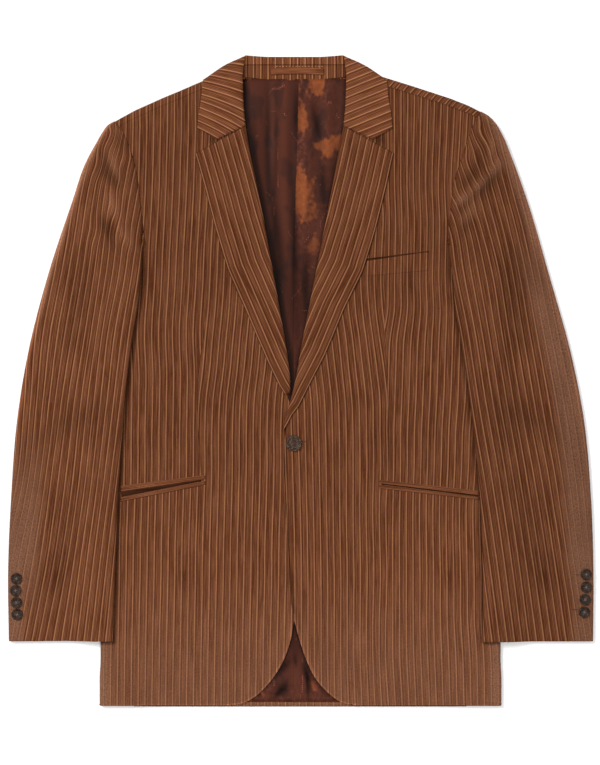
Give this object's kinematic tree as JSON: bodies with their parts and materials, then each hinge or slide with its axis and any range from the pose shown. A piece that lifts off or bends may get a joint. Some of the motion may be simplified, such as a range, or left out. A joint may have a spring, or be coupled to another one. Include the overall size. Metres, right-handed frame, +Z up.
{
  "type": "corduroy jacket",
  "caption": "Single-breasted needlecord jacket laid flat on its back, with notch lapels, set-in sleeves, jetted hip pockets, a breast welt and a cutaway hem.",
  "frame": {"origin": "middle of the laid jacket's outline, on the surface it lies on", "axes": "+X to the wearer's left, +Y from hem to collar, +Z up through the layers, out of the front"},
  "size_m": [0.72, 0.8016, 0.0167],
  "materials": {
    "corduroy": "brown needlecord",
    "lining": "dark brown satin",
    "horn": "dark mottled horn"
  },
  "bodies": {
    "root": {"back_right": "corduroy", "back_left": "corduroy", "side_panel_right": "corduroy", "side_panel_left": "corduroy", "front_right": "corduroy", "front_left": "corduroy", "lapel_right": "corduroy", "lapel_left": "corduroy", "collar_fall": "corduroy", "collar_stand": "corduroy", "neck_facing": "corduroy", "hanger_loop": "corduroy", "upper_sleeve_right": "corduroy", "upper_sleeve_left": "corduroy", "under_sleeve_right": "corduroy", "under_sleeve_left": "corduroy", "hip_pocket_jet_upper_right": "corduroy", "hip_pocket_jet_lower_right": "corduroy", "hip_pocket_jet_upper_left": "corduroy", "hip_pocket_jet_lower_left": "corduroy", "breast_welt": "corduroy", "lining_back_right": "lining", "lining_back_left": "lining", "front_button": "horn", "cuff_button_right_1": "horn", "cuff_button_right_2": "horn", "cuff_button_right_3": "horn", "cuff_button_right_4": "horn", "cuff_button_left_1": "horn", "cuff_button_left_2": "horn", "cuff_button_left_3": "horn", "cuff_button_left_4": "horn"}
  },
  "joints": []
}
